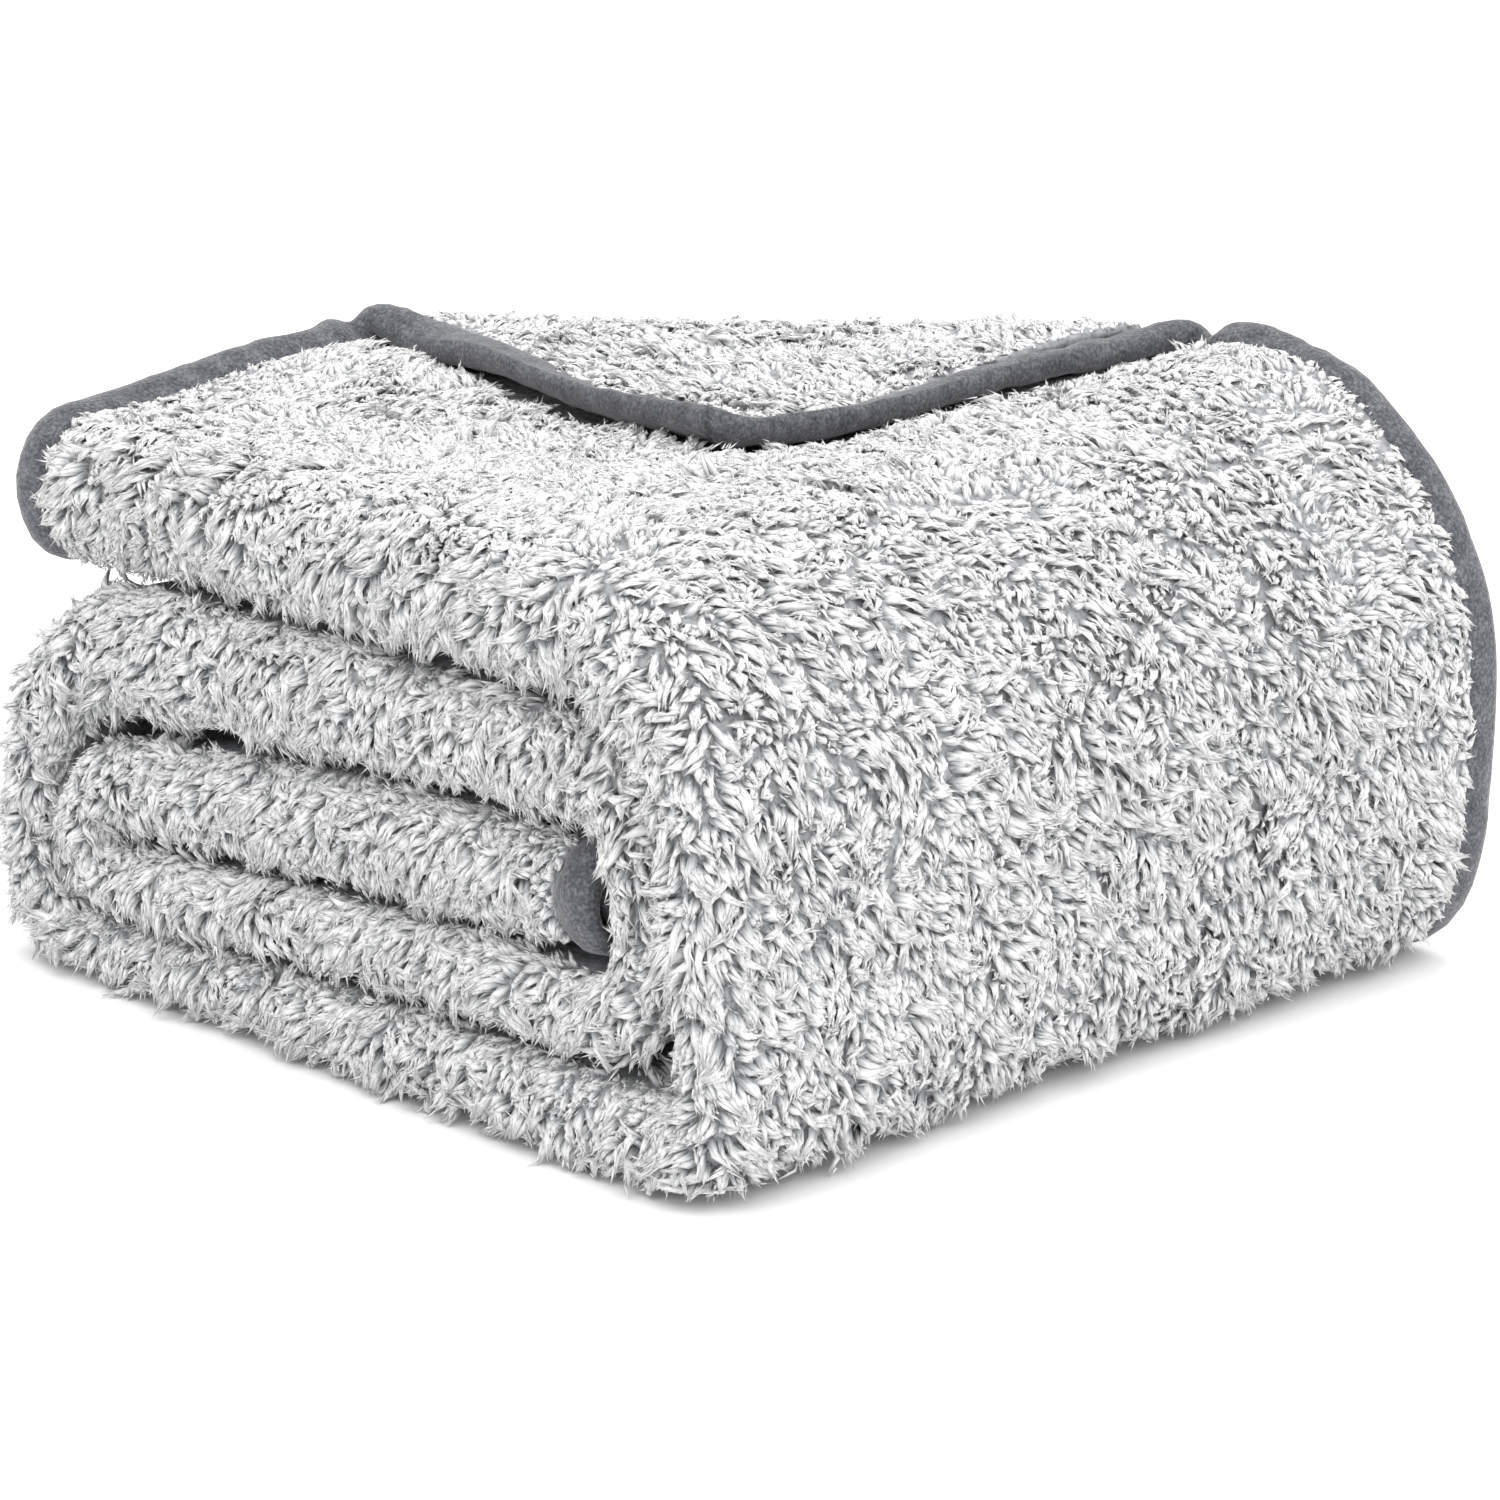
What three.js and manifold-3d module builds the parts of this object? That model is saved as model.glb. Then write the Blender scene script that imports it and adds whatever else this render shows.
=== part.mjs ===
// A double-sided long-pile fleece throw with a bound edge, folded for storage.
// The cloth is folded in quarters along its length into a strip of four sheets, and the strip is wound
// flat into a five-layer stack. The outer end lies on top, and its far corner is turned back over itself.
// Millimetres, +Z up. Origin: centre of the stack's footprint, on the surface it rests on.
// +X is the wound face, -Y the smooth final fold of the strip, +Y the side where the bound edges lie.
import * as THREE from "three";
import { mergeVertices } from "three/addons/utils/BufferGeometryUtils.js";
import Module from "manifold-3d";

const wasm = await Module();
wasm.setup();

// ---------------------------------------------------------------- driving sizes
const HALF_X = 166; // half the stack's length, face to back
const HALF_Y = 167; // half the stack's width, fold to bound edge
const FLAP_X = -157; // where the bound outer end lies on top
const BIND_W = 14; // finished width of the binding
const SLIT = 0.3; // gap between the cloth's edge and the binding
const MITRE = 0.2; // half gap at the binding's mitres
const CLOTH_T = 7; // a sheet with its pile, where it lies loose
const BIND_T = 6.6; // the binding, where it lies loose
const SHEET_GAP = 0.6; // least gap between two sheets of the strip
const BIND_GAP = 0.9; // the same between two bound edges
const TOP_BASE = 131; // underside of the top strip

// Height of each strip's middle, bottom to top.
const LEVEL = { base: 14.2, lower: 43, core: 75, upper: 112, top: 151.5 };
// Bend radii of the strip's middle.
const BEND = { shoulder: 62, foot: 18, heel: 27, nape: 44, ring: 27, ringfoot: 20, eye: 16 };

const xFace = HALF_X - 12; // middle of the strip on the wound face
const xBack = -HALF_X + 13; // middle of the strip at the back
const xRing = xFace - 24; // middle of the strip in the inner turn
const xEye = xBack + 27; // middle of the strip in the innermost turn
const coreEnd = 115 - BIND_W; // where the cloth's inner end stops
const topStart = FLAP_X + BIND_W + SLIT; // where the cloth's outer end starts
const upperRun = xRing - BEND.ring - (xBack + BEND.nape);
const coreRun = coreEnd - (xEye + BEND.eye);

// The strip's way through the stack, from the outer end to the inner end. All bends turn the same way.
// columns: name, kind, size (length of a line, radius of a quarter turn), strip thickness at its end,
// recess of the smooth fold behind the -Y face at its end, number of steps
const RUNS = [
  ["top", "line", xFace - BEND.shoulder - topStart, 44, 0, 8],
  ["shoulder", "arc", BEND.shoulder, 25, 1, 7],
  ["face", "line", LEVEL.top - LEVEL.base - BEND.shoulder - BEND.foot, 24, 2, 2],
  ["foot", "arc", BEND.foot, 29, 0, 4],
  ["base", "line", xFace - BEND.foot - (xBack + BEND.heel), 29, 2, 4],
  ["heel", "arc", BEND.heel, 26, 1, 4],
  ["back", "line", LEVEL.upper - LEVEL.base - BEND.heel - BEND.nape, 28, 2, 1],
  ["nape", "arc", BEND.nape, 38, 2, 5],
  ["upper1", "line", upperRun * 0.45, 38, 2, 2],
  ["upper2", "line", upperRun * 0.55, 34, 3, 2],
  ["ring", "arc", BEND.ring, 22, 4, 4],
  ["ringface", "line", LEVEL.upper - LEVEL.lower - BEND.ring - BEND.ringfoot, 22, 4, 1],
  ["ringfoot", "arc", BEND.ringfoot, 24, 4, 4],
  ["lower", "line", xRing - BEND.ringfoot - (xEye + BEND.eye), 26, 3, 4],
  ["eyeheel", "arc", BEND.eye, 25, 3, 3],
  ["eyenape", "arc", BEND.eye, 26, 3, 3],
  ["core1", "line", coreRun * 0.4, 38, 3, 2],
  ["core2", "line", coreRun * 0.6, 36, 3, 2],
];
const START = { thick: 44, recess: 6 };

// The cloth's way across the strip, from one bound edge to the other.
// columns: name, number of steps
const LEGS = [
  ["outer_sheet", 7],
  ["outer_fold", 5],
  ["inner_sheet", 3],
  ["half_fold", 3],
  ["second_sheet", 3],
  ["inner_fold", 3],
  ["third_sheet", 3],
];
const EDGE_1 = HALF_Y - BIND_W - SLIT; // cloth's edge on the outer sheet
const EDGE_2 = EDGE_1 - 5; // cloth's edge on the third sheet
const HALF_FOLD_Y = EDGE_1 - 12; // where the half fold lies

// The turned corner: it is folded along the line from A (on the outer end) to B (on the side edge).
const TURN = { ax: FLAP_X, ay: -33.7, bx: 63.2, by: HALF_Y, r: 4.6, rest: 9.9, easeOver: 60 };

// Gentle unevenness of the whole stack, all in mm.
const LEAN = 12; // the inner strips lean down towards the far end by this
const FLAP_SAG = 5; // the outer end sags by this
const LOFT = { fold: 11.5, end: 4, side: 3, front: 1.5, corner: -12 }; // extra height of the top strip
const SINK = 6; // how far the turned corner sinks into the pile under it
const SWELL = 4; // how far the wound face swells at its far side
const SIDE_RISE = 0.03; // share by which the bound side stands higher
const CENTRE = { x: 3.3, y: 0.5 }; // middle of the footprint before it is put on the origin
const TOE_OUT = 8; // wound face, near low corner
const TOE_IN = 4; // wound face, far low corner

// ---------------------------------------------------------------- the strip's middle line
const ease = (u) => {
  const c = Math.min(Math.max(u, 0), 1);
  return c * c * (3 - 2 * c);
};

const segs = [];
{
  let x = topStart,
    z = LEVEL.top,
    head = 0,
    s = 0,
    thick = START.thick,
    recess = START.recess;
  for (const [name, kind, size, thick1, recess1, steps] of RUNS) {
    const len = kind === "line" ? size : (size * Math.PI) / 2;
    segs.push({ name, kind, size, s, len, x, z, head, thick, thick1, recess, recess1, steps });
    if (kind === "line") {
      x += len * Math.cos(head);
      z += len * Math.sin(head);
    } else {
      const cx = x + size * Math.sin(head),
        cz = z - size * Math.cos(head);
      head -= Math.PI / 2;
      x = cx - size * Math.sin(head);
      z = cz + size * Math.cos(head);
    }
    s += len;
    thick = thick1;
    recess = recess1;
  }
}
const last = segs[segs.length - 1];
const LENGTH = last.s + last.len; // cloth along the strip, without its binding

// Middle line at s: place, heading, thickness and recess. Past either end it runs straight on.
function middle(sRaw) {
  const s = Math.min(Math.max(sRaw, 0), LENGTH);
  let g = segs[0];
  for (const c of segs) if (s >= c.s) g = c;
  const u = s - g.s,
    f = ease(u / g.len);
  let x, z, head;
  if (g.kind === "line") {
    x = g.x + u * Math.cos(g.head);
    z = g.z + u * Math.sin(g.head);
    head = g.head;
  } else {
    head = g.head - u / g.size;
    x = g.x + g.size * Math.sin(g.head) - g.size * Math.sin(head);
    z = g.z - g.size * Math.cos(g.head) + g.size * Math.cos(head);
  }
  const past = sRaw - s;
  return {
    x: x + past * Math.cos(head),
    z: z + past * Math.sin(head),
    head,
    thick: g.thick + (g.thick1 - g.thick) * f,
    recess: g.recess + (g.recess1 - g.recess) * f,
  };
}

// Place across the strip: leg is 0 to 7, one unit a leg. y across, n out of the strip, and the sheet's normal.
function across(leg, thick, recess) {
  const p = thick / 4,
    yc = -HALF_Y + recess + thick / 2,
    k = Math.min(Math.max(Math.floor(leg), 0), 6),
    u = leg - k,
    a = Math.PI * u,
    sin = Math.sin(a),
    cos = Math.cos(a);
  if (k === 0) return { y: EDGE_1 + (yc - EDGE_1) * u, n: 1.5 * p, ny: 0, nn: 1 };
  if (k === 1) return { y: yc - 1.5 * p * sin, n: 1.5 * p * cos, ny: -sin, nn: cos };
  if (k === 2) return { y: yc + (HALF_FOLD_Y - yc) * u, n: -1.5 * p, ny: 0, nn: -1 };
  if (k === 3) return { y: HALF_FOLD_Y + 0.5 * p * sin, n: -p - 0.5 * p * cos, ny: sin, nn: -cos };
  if (k === 4) return { y: HALF_FOLD_Y + (yc - HALF_FOLD_Y) * u, n: -0.5 * p, ny: 0, nn: 1 };
  if (k === 5) return { y: yc - 0.5 * p * sin, n: -0.5 * p * cos, ny: sin, nn: cos };
  return { y: yc + (EDGE_2 - yc) * u, n: 0.5 * p, ny: 0, nn: -1 };
}

// A point of the folded cloth before the corner is turned: along s, across leg, h out of the sheet's middle,
// past the side edge by out.
function place(s, leg, h, out = 0) {
  const m = middle(s),
    c = across(leg, m.thick, m.recess),
    n = c.n + c.nn * h;
  return [m.x - Math.sin(m.head) * n, c.y + c.ny * h + out, m.z + Math.cos(m.head) * n];
}

// ---------------------------------------------------------------- the turned corner
const turnLen = Math.hypot(TURN.bx - TURN.ax, TURN.by - TURN.ay);
const along = [(TURN.bx - TURN.ax) / turnLen, (TURN.by - TURN.ay) / turnLen];
const off = [-along[1], along[0]]; // towards the corner that is turned
const sheetZ = LEVEL.top + 1.5 * (START.thick / 4); // middle of the outer sheet on top
const beyond = (x, y) => (x - TURN.ax) * off[0] + (y - TURN.ay) * off[1];

function turned([x, y, z]) {
  const d = beyond(x, y);
  if (d <= 0) return [x, y, z];
  const h = z - sheetZ,
    phi = Math.min(d / TURN.r, Math.PI),
    over = Math.max(d - Math.PI * TURN.r, 0),
    drop = over > 0 ? ease(over / TURN.easeOver) * (2 * TURN.r - TURN.rest) : 0,
    move = TURN.r * Math.sin(phi) - over - d - Math.sin(phi) * h;
  return [
    x + off[0] * move,
    y + off[1] * move,
    sheetZ + TURN.r * (1 - Math.cos(phi)) - drop + Math.cos(phi) * h,
  ];
}

const tipTurned = turned([FLAP_X, HALF_Y, sheetZ]);

// ---------------------------------------------------------------- unevenness of the stack
function uneven([x, y, z0]) {
  let z = z0;
  z -= LEAN * ease((60 - x) / 220) * Math.sin(Math.PI * Math.min(Math.max(z0 / TOP_BASE, 0), 1));
  z -= FLAP_SAG * ease((-75 - x) / 70) * Math.exp(-(((z0 - 129) / 22) ** 2));
  if (z > TOP_BASE) {
    const d = beyond(x, y),
      end = ease((-10 - x) / 140) * (1 - 0.75 * ease((-50 - y) / 100)),
      side = ease((y - 50) / 115) * ease((x - 52) / 28) * (1 - 0.6 * ease((x - 75) / 70)),
      fold = ease((d + 100) / 100),
      back = ease((d - 6) / 100);
    // The turned corner covers what lies between its two edges.
    const covered =
      ease((tipTurned[0] + ((y - tipTurned[1]) * (TURN.bx - tipTurned[0])) / (TURN.by - tipTurned[1]) - x) / 14 + 0.3) *
      ease((y - TURN.ay) / 14 + 0.3);
    let loft = LOFT.fold * fold + LOFT.end * end + LOFT.side * side + LOFT.front * (1 - fold);
    loft = (loft - SINK * covered) * (1 - back) + LOFT.corner * back;
    z = TOP_BASE + (z - TOP_BASE) * (1 + loft / 41);
  }
  z *= 1 + SIDE_RISE * ease((y + 20) / 180);
  const front = ease((x - 90) / 70);
  const xx =
    x +
    front *
      (TOE_OUT * ease(-y / 150) * (1 - ease((z - 20) / 90)) -
        TOE_IN * ease((y - 20) / 140) * (1 - ease(z / 55)) +
        SWELL * ease((y - 20) / 140) * Math.sin(Math.PI * Math.min(z / 165, 1)));
  return [xx - CENTRE.x, y - CENTRE.y, Math.abs(z) < 1e-6 ? 0 : z];
}

// ---------------------------------------------------------------- meshes
const sheetHalf = (thick) => Math.min(thick / 4 - SHEET_GAP, CLOTH_T) / 2;
const bindHalf = (thick) => Math.min(thick / 4 - BIND_GAP, BIND_T) / 2;

function solid(points, tris) {
  let volume = 0;
  for (const [a, b, c] of tris) {
    const [p, q, r] = [points[a], points[b], points[c]];
    volume +=
      p[0] * (q[1] * r[2] - q[2] * r[1]) + p[1] * (q[2] * r[0] - q[0] * r[2]) + p[2] * (q[0] * r[1] - q[1] * r[0]);
  }
  const g = new THREE.BufferGeometry();
  g.setAttribute("position", new THREE.Float32BufferAttribute(points.flat(), 3));
  g.setIndex(tris.flatMap(([a, b, c]) => (volume < 0 ? [a, c, b] : [a, b, c]))); // faces out
  const m = mergeVertices(g, 1e-3),
    ix = m.index.array,
    keep = [];
  for (let i = 0; i < ix.length; i += 3)
    if (ix[i] !== ix[i + 1] && ix[i + 1] !== ix[i + 2] && ix[i] !== ix[i + 2]) keep.push(ix[i], ix[i + 1], ix[i + 2]);
  const made = new wasm.Manifold(
    new wasm.Mesh({
      numProp: 3,
      vertProperties: new Float32Array(m.attributes.position.array),
      triVerts: new Uint32Array(keep),
    }),
  );
  return made;
}

// A closed skin over a grid of sections: rows[i][j], each row a closed loop, with flat ends.
function loft(rows) {
  const n = rows[0].length,
    points = rows.flat(),
    tris = [];
  for (let i = 0; i + 1 < rows.length; i++)
    for (let j = 0; j < n; j++) {
      const a = i * n + j,
        b = i * n + ((j + 1) % n);
      tris.push([a, b, a + n], [b, b + n, a + n]);
    }
  for (let j = 1; j + 1 < n; j++) {
    tris.push([0, j + 1, j]);
    const e = (rows.length - 1) * n;
    tris.push([e, e + j, e + j + 1]);
  }
  return solid(points, tris);
}

// A closed slab over a grid of points given for its two faces.
function slab(upper, under) {
  const rows = upper.length,
    cols = upper[0].length,
    points = [...upper.flat(), ...under.flat()],
    tris = [],
    at = (face, i, j) => face * rows * cols + i * cols + j;
  for (let i = 0; i + 1 < rows; i++)
    for (let j = 0; j + 1 < cols; j++) {
      tris.push([at(0, i, j), at(0, i, j + 1), at(0, i + 1, j)]);
      tris.push([at(0, i, j + 1), at(0, i + 1, j + 1), at(0, i + 1, j)]);
      tris.push([at(1, i, j), at(1, i + 1, j), at(1, i, j + 1)]);
      tris.push([at(1, i, j + 1), at(1, i + 1, j), at(1, i + 1, j + 1)]);
    }
  const rim = [];
  for (let j = 0; j < cols; j++) rim.push([0, j]);
  for (let i = 1; i < rows; i++) rim.push([i, cols - 1]);
  for (let j = cols - 2; j >= 0; j--) rim.push([rows - 1, j]);
  for (let i = rows - 2; i > 0; i--) rim.push([i, 0]);
  rim.forEach(([i, j], k) => {
    const [i2, j2] = rim[(k + 1) % rim.length];
    const [u, d, u2, d2] = [at(0, i, j), at(1, i, j), at(0, i2, j2), at(1, i2, j2)];
    // The rim's diagonals run the same way as those of the binding beside it.
    if (i2 + j2 > i + j) tris.push([u, d, u2], [u2, d, d2]);
    else tris.push([u, d, d2], [u, d2, u2]);
  });
  return solid(points, tris);
}

// Steps along the strip and across it.
const stations = [0];
for (const g of segs) for (let i = 1; i <= g.steps; i++) stations.push(g.s + (g.len * i) / g.steps);
const legs = [0];
LEGS.forEach(([, steps], k) => {
  for (let i = 1; i <= steps; i++) legs.push(k + i / steps);
});

// The cloth before its corner is turned.
const face = (sign) =>
  stations.map((s) => {
    const h = sign * sheetHalf(middle(s).thick);
    return legs.map((leg) => place(s, leg, h));
  });
const flatCloth = slab(face(1), face(-1));

// A prism over all that lies beyond the fold line, no lower than halfway down to the next sheet.
const onLine = (q, d, z) => [TURN.ax + along[0] * q + off[0] * d, TURN.ay + along[1] * q + off[1] * d, z];
const cutLow = sheetZ - START.thick / 8;
const corner = [onLine(-60, 0, cutLow), onLine(turnLen + 60, 0, cutLow), onLine(turnLen + 60, 260, cutLow), onLine(-60, 260, cutLow)];
const cutter = loft([corner, corner.map(([x, y]) => [x, y, cutLow + 60])]);

// Distances past the fold line at which the turned corner is stepped.
const rollSteps = 4,
  roll = Math.PI * TURN.r;
const turnSteps = [];
for (let i = 0; i <= rollSteps; i++) turnSteps.push((roll * i) / rollSteps);
const past = [32, 52, 74, 98];

// The turned corner of the cloth, from just before the fold line to its tip.
const tipD = beyond(topStart, EDGE_1);
const halfTop = sheetHalf(START.thick);
const flapRows = [-2, ...turnSteps, ...past, tipD];
const flapFace = (sign) =>
  flapRows.map((d) => {
    const q0 = (topStart - TURN.ax - off[0] * d) / along[0],
      q1 = (EDGE_1 - TURN.ay - off[1] * d) / along[1],
      row = [];
    for (let i = 0; i <= 8; i++) row.push(turned(onLine(q0 + ((q1 - q0) * i) / 8, d, sheetZ + sign * halfTop)));
    return row;
  });
// The rows run away from the viewer's side, so the grid is taken in the other order.
const flap = slab(
  flapFace(1).map((r) => r.slice().reverse()),
  flapFace(-1).map((r) => r.slice().reverse()),
);

const clothSolid = flatCloth.subtract(cutter).add(flap);

// The binding's section: distance out from the cloth's edge, share of its half thickness.
const NOSE = [
  [SLIT, 1],
  [SLIT + BIND_W * 0.72, 1],
  [SLIT + BIND_W, 0],
  [SLIT + BIND_W * 0.72, -1],
  [SLIT, -1],
];
const turnLines = [120, ...past.slice().reverse(), ...turnSteps.slice().reverse(), -12];

// Binding along a side edge: leg is 0 or 7; the first one runs round the turned corner.
function sideBinding(leg) {
  const first = leg === 0,
    edgeY = first ? EDGE_1 : EDGE_2,
    rows = [];
  const point = (s, out, share) => {
    const p = place(s, leg, share * bindHalf(middle(s).thick), out);
    return first && s < segs[0].len ? turned(p) : p;
  };
  rows.push(NOSE.map(([out, share]) => point(-out + MITRE, out, share)));
  if (first)
    for (const d of turnLines)
      rows.push(
        NOSE.map(([out, share]) => {
          const x = TURN.ax + (d - (edgeY + out - TURN.ay) * off[1]) / off[0];
          return point(x - topStart, out, share);
        }),
      );
  for (const s of stations)
    if (first ? s >= segs[0].len : s > 0)
      if (s < LENGTH) rows.push(NOSE.map(([out, share]) => point(s, out, share)));
  rows.push(NOSE.map(([out, share]) => point(LENGTH + out - MITRE, out, share)));
  return loft(rows);
}

// Binding along an end of the strip: at its start (the outer end, round the turned corner) or at its finish.
function endBinding(atStart) {
  const rows = [];
  const point = (leg, out, share, side) => {
    const s = atStart ? -out : LENGTH + out;
    const p = place(s, leg, share * bindHalf(middle(s).thick), side);
    return atStart && leg < 1 ? turned(p) : p;
  };
  rows.push(NOSE.map(([out, share]) => point(0, out, share, out - MITRE)));
  if (atStart) {
    const yc = -HALF_Y + START.recess + START.thick / 2;
    for (const d of turnLines)
      rows.push(
        NOSE.map(([out, share]) => {
          const x = topStart - out,
            y = TURN.ay + (d - (x - TURN.ax) * off[0]) / off[1];
          return point((EDGE_1 - y) / (EDGE_1 - yc), out, share, 0);
        }),
      );
  }
  for (const leg of legs)
    if (leg > (atStart ? 0.75 : 0) && leg < 7) rows.push(NOSE.map(([out, share]) => point(leg, out, share, 0)));
  rows.push(NOSE.map(([out, share]) => point(7, out, share, out - MITRE)));
  return loft(rows);
}

// ---------------------------------------------------------------- scene
const pile = new THREE.MeshStandardMaterial({ color: 0xdcdde0, roughness: 1, metalness: 0 });
const tape = new THREE.MeshStandardMaterial({ color: 0x66686f, roughness: 0.9, metalness: 0 });

// A finished mesh from a solid: the stack's unevenness is put on every vertex.
function finished(name, made, material) {
  const mesh = made.getMesh(),
    n = mesh.numProp,
    pos = [];
  for (let i = 0; i < mesh.numVert; i++)
    pos.push(...uneven([mesh.vertProperties[i * n], mesh.vertProperties[i * n + 1], mesh.vertProperties[i * n + 2]]));
  const g = new THREE.BufferGeometry();
  g.setAttribute("position", new THREE.Float32BufferAttribute(pos, 3));
  g.setIndex(new THREE.BufferAttribute(new Uint32Array(mesh.triVerts), 1));
  g.computeVertexNormals();
  const m = new THREE.Mesh(g, material);
  m.name = name;
  return m;
}

const throwBlanket = new THREE.Group();
throwBlanket.add(
  finished("fleece_cloth", clothSolid, pile),
  finished("binding_outer_end", endBinding(true), tape),
  finished("binding_inner_end", endBinding(false), tape),
  finished("binding_outer_side", sideBinding(0), tape),
  finished("binding_inner_side", sideBinding(7), tape),
);

export default throwBlanket;
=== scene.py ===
"""Looks of a folded double-sided fleece throw: the cloth, its long pile, grey at the roots as painted shade, and its
velour binding.

The cloth follows the same fold as the frame: quartered across, wound flat along, and its outer corner turned back.
Sizes are in millimetres until a mesh is made; the frame is in metres.
"""

import bpy
import math
import time
import numpy as np
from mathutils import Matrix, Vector
from mathutils.bvhtree import BVHTree
from mathutils.kdtree import KDTree


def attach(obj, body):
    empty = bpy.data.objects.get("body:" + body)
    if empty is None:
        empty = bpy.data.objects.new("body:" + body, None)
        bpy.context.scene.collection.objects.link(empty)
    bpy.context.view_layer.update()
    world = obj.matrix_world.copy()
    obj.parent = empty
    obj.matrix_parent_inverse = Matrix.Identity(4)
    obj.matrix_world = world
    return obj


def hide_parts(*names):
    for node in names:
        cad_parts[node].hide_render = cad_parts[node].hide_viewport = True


T_BEGIN = time.time()
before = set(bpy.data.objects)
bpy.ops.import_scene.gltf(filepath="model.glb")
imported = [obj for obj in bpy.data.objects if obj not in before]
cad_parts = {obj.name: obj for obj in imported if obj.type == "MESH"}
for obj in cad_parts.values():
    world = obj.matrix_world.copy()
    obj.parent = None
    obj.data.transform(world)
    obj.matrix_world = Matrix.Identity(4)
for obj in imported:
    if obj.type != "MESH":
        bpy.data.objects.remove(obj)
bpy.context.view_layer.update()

# ------------------------------------------------------------------ sizes of the fold, as in the frame
HALF_X, HALF_Y = 166.0, 167.0
FLAP_X = -157.0
BIND_W, SLIT = 14.0, 0.3
TOP_BASE = 131.0
LEVEL = dict(base=14.2, lower=43.0, core=75.0, upper=112.0, top=151.5)
BEND = dict(shoulder=62.0, foot=18.0, heel=27.0, nape=44.0, ring=27.0, ringfoot=20.0, eye=16.0)
X_FACE, X_BACK = HALF_X - 12, -HALF_X + 13
X_RING, X_EYE = X_FACE - 24, X_BACK + 27
CORE_END = 115 - BIND_W
TOP_START = FLAP_X + BIND_W + SLIT
UPPER_RUN = X_RING - BEND["ring"] - (X_BACK + BEND["nape"])
CORE_RUN = CORE_END - (X_EYE + BEND["eye"])
RUNS = [  # name, kind, size, strip thickness at its end, recess of the smooth fold at its end
    ("top", "line", X_FACE - BEND["shoulder"] - TOP_START, 44, 0),
    ("shoulder", "arc", BEND["shoulder"], 25, 1),
    ("face", "line", LEVEL["top"] - LEVEL["base"] - BEND["shoulder"] - BEND["foot"], 24, 2),
    ("foot", "arc", BEND["foot"], 29, 0),
    ("base", "line", X_FACE - BEND["foot"] - (X_BACK + BEND["heel"]), 29, 2),
    ("heel", "arc", BEND["heel"], 26, 1),
    ("back", "line", LEVEL["upper"] - LEVEL["base"] - BEND["heel"] - BEND["nape"], 28, 2),
    ("nape", "arc", BEND["nape"], 38, 2),
    ("upper1", "line", UPPER_RUN * 0.45, 38, 2),
    ("upper2", "line", UPPER_RUN * 0.55, 34, 3),
    ("ring", "arc", BEND["ring"], 22, 4),
    ("ringface", "line", LEVEL["upper"] - LEVEL["lower"] - BEND["ring"] - BEND["ringfoot"], 22, 4),
    ("ringfoot", "arc", BEND["ringfoot"], 24, 4),
    ("lower", "line", X_RING - BEND["ringfoot"] - (X_EYE + BEND["eye"]), 26, 3),
    ("eyeheel", "arc", BEND["eye"], 25, 3),
    ("eyenape", "arc", BEND["eye"], 26, 3),
    ("core1", "line", CORE_RUN * 0.4, 38, 3),
    ("core2", "line", CORE_RUN * 0.6, 36, 3),
]
START_T, START_REC = 44.0, 6.0
EDGE_1 = HALF_Y - BIND_W - SLIT
EDGE_2 = EDGE_1 - 5
HALF_FOLD_Y = EDGE_1 - 12
TURN = dict(ax=FLAP_X, ay=-33.7, bx=63.2, by=HALF_Y, r=4.6, rest=9.9, ease=60.0)
LEAN, FLAP_SAG = 12.0, 5.0
LOFT = dict(fold=11.5, end=4.0, side=3.0, front=1.5, corner=-12.0)
SINK, SWELL, SIDE_RISE = 6.0, 4.0, 0.03
CENTRE = (3.3, 0.5)
TOE_OUT, TOE_IN = 8.0, 4.0

# ------------------------------------------------------------------ sizes of the looks
CORE_H = 1.5  # half thickness of the knitted ground with the feet of its pile
PILE_L = 8.0  # length of a strand of pile
STRAND_W = 1.1  # half its width
HAIRS, HAIR_L, HAIR_W = 2, 3.6, 0.42  # fine hairs on each strand that shows: how many, their length and half width
PITCH = 2.27  # distance between strands
TUFT, WAVE = 4.2, 11.5  # size of a pointed tuft of strands, and of a wave of tufts that lie one way
SEAM_PRESS = 12.0  # width along a seam where the pile is pressed shorter


def ease(u):
    c = np.clip(u, 0, 1)
    return c * c * (3 - 2 * c)


# ------------------------------------------------------------------ the fold
def _segments():
    x, z, head, s, t, rec = TOP_START, LEVEL["top"], 0.0, 0.0, START_T, START_REC
    rows = []
    for name, kind, size, t1, rec1 in RUNS:
        n = size if kind == "line" else size * math.pi / 2
        rows.append((s, n, 0 if kind == "line" else 1, size, x, z, head, t, t1, rec, rec1))
        if kind == "line":
            x, z = x + n * math.cos(head), z + n * math.sin(head)
        else:
            cx, cz = x + size * math.sin(head), z - size * math.cos(head)
            head -= math.pi / 2
            x, z = cx - size * math.sin(head), cz + size * math.cos(head)
        s, t, rec = s + n, t1, rec1
    return np.array(rows, float)


SEG = _segments()
LENGTH = SEG[-1, 0] + SEG[-1, 1]
TOP_LEN = SEG[0, 1]
S_AT = {r[0]: SEG[i, 0] for i, r in enumerate(RUNS)}


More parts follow.
